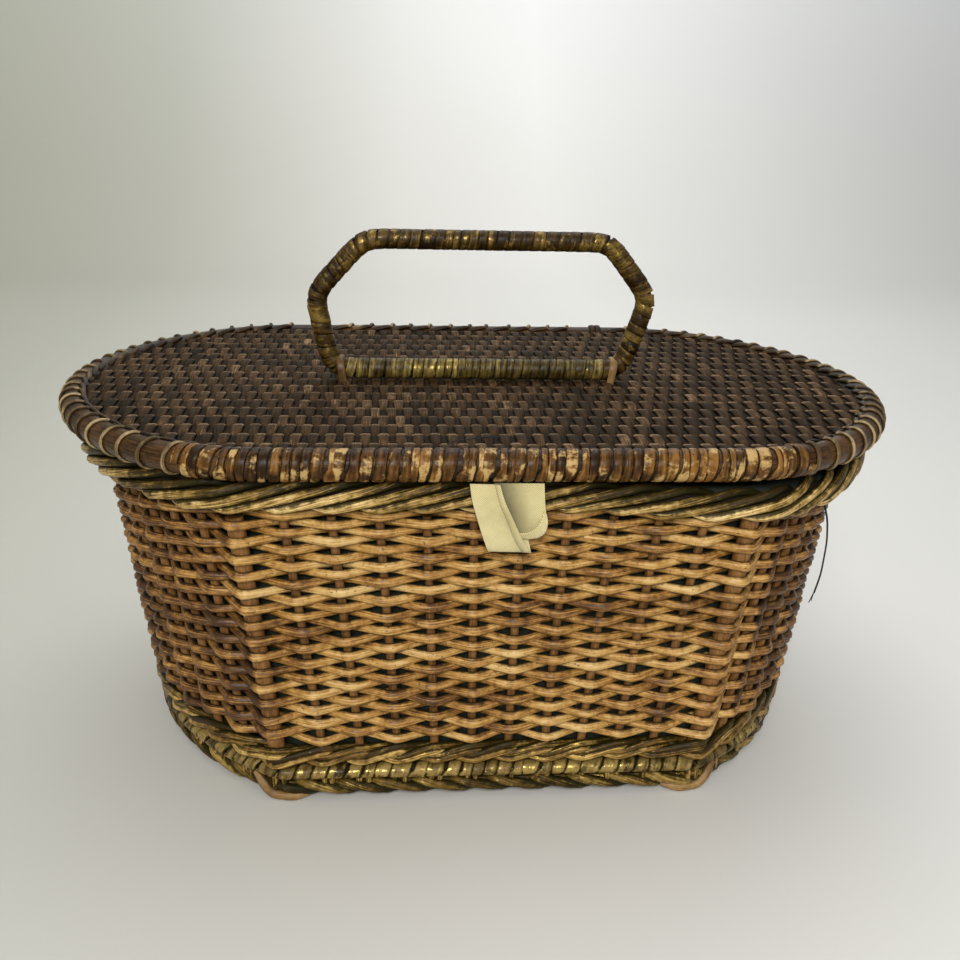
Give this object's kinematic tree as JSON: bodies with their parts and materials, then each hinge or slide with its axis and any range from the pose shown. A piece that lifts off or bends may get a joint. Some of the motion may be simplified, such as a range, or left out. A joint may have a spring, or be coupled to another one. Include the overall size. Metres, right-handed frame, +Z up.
{
  "type": "sewing basket",
  "caption": "Wicker sewing basket with bowed ends, a hinged woven lid with a swinging bail handle, and a tape tab that lifts the lid.",
  "frame": {"origin": "on the floor under the middle of the lid", "axes": "+X to the basket's right seen from the front, +Y to the back where the lid is hinged, +Z up"},
  "size_m": [0.3, 0.2044, 0.1762],
  "materials": {
    "honey_cane": "satin round cane, honey brown with worn highlights",
    "dark_cane": "satin round cane, dark brown",
    "gilded_cane": "round cane with old gold paint, worn",
    "gilded_wrap": "flat cane wrapping with old gold paint, worn",
    "rim_cane": "glossy split cane, mottled brown and cream",
    "lid_cane": "flat cane, dark chocolate, dusty satin",
    "woven_base": "flat woven cane, plain",
    "lining_cloth": "dark green sateen",
    "tape": "cream twill tape"
  },
  "bodies": {
    "basket": {"base_panel": "woven_base", "base_pad": "lining_cloth", "base_hoop": "gilded_cane", "foot_border": "gilded_cane", "corner_feet": "gilded_cane", "corner_posts": "honey_cane", "face_stakes": "dark_cane", "end_stakes": "dark_cane", "bottom_wale": "gilded_cane", "randing_rods": "honey_cane", "top_border": "gilded_cane", "side_lining": "lining_cloth", "hinge_loops": "rim_cane"},
    "lid": {"lid_rim": "rim_cane", "rim_binding": "rim_cane", "rim_loops": "rim_cane", "lid_slats": "lid_cane", "lid_strips": "lid_cane", "lid_lining": "lining_cloth", "handle_loops": "rim_cane"},
    "handle": {"handle_core": "dark_cane", "grip_wrap": "gilded_wrap", "side_wraps": "gilded_wrap", "bar_wrap": "gilded_wrap"},
    "pull_tab": {"tape_loop": "tape"}
  },
  "joints": [
    {"name": "lid_hinge", "type": "hinge", "parent": "basket", "child": "lid", "pos_m": [0, 0.0969, 0.1182], "axis": [-1, 0, 0], "range_deg": [0, 105]},
    {"name": "handle_swing", "type": "hinge", "parent": "lid", "child": "handle", "pos_m": [0, -0.0013, 0.1252], "axis": [1, 0, 0], "range_deg": [-88, 88]},
    {"name": "tab_swing", "type": "hinge", "parent": "lid", "child": "pull_tab", "pos_m": [0, -0.0989, 0.1111], "axis": [-1, 0, 0], "range_deg": [0, 80]}
  ]
}
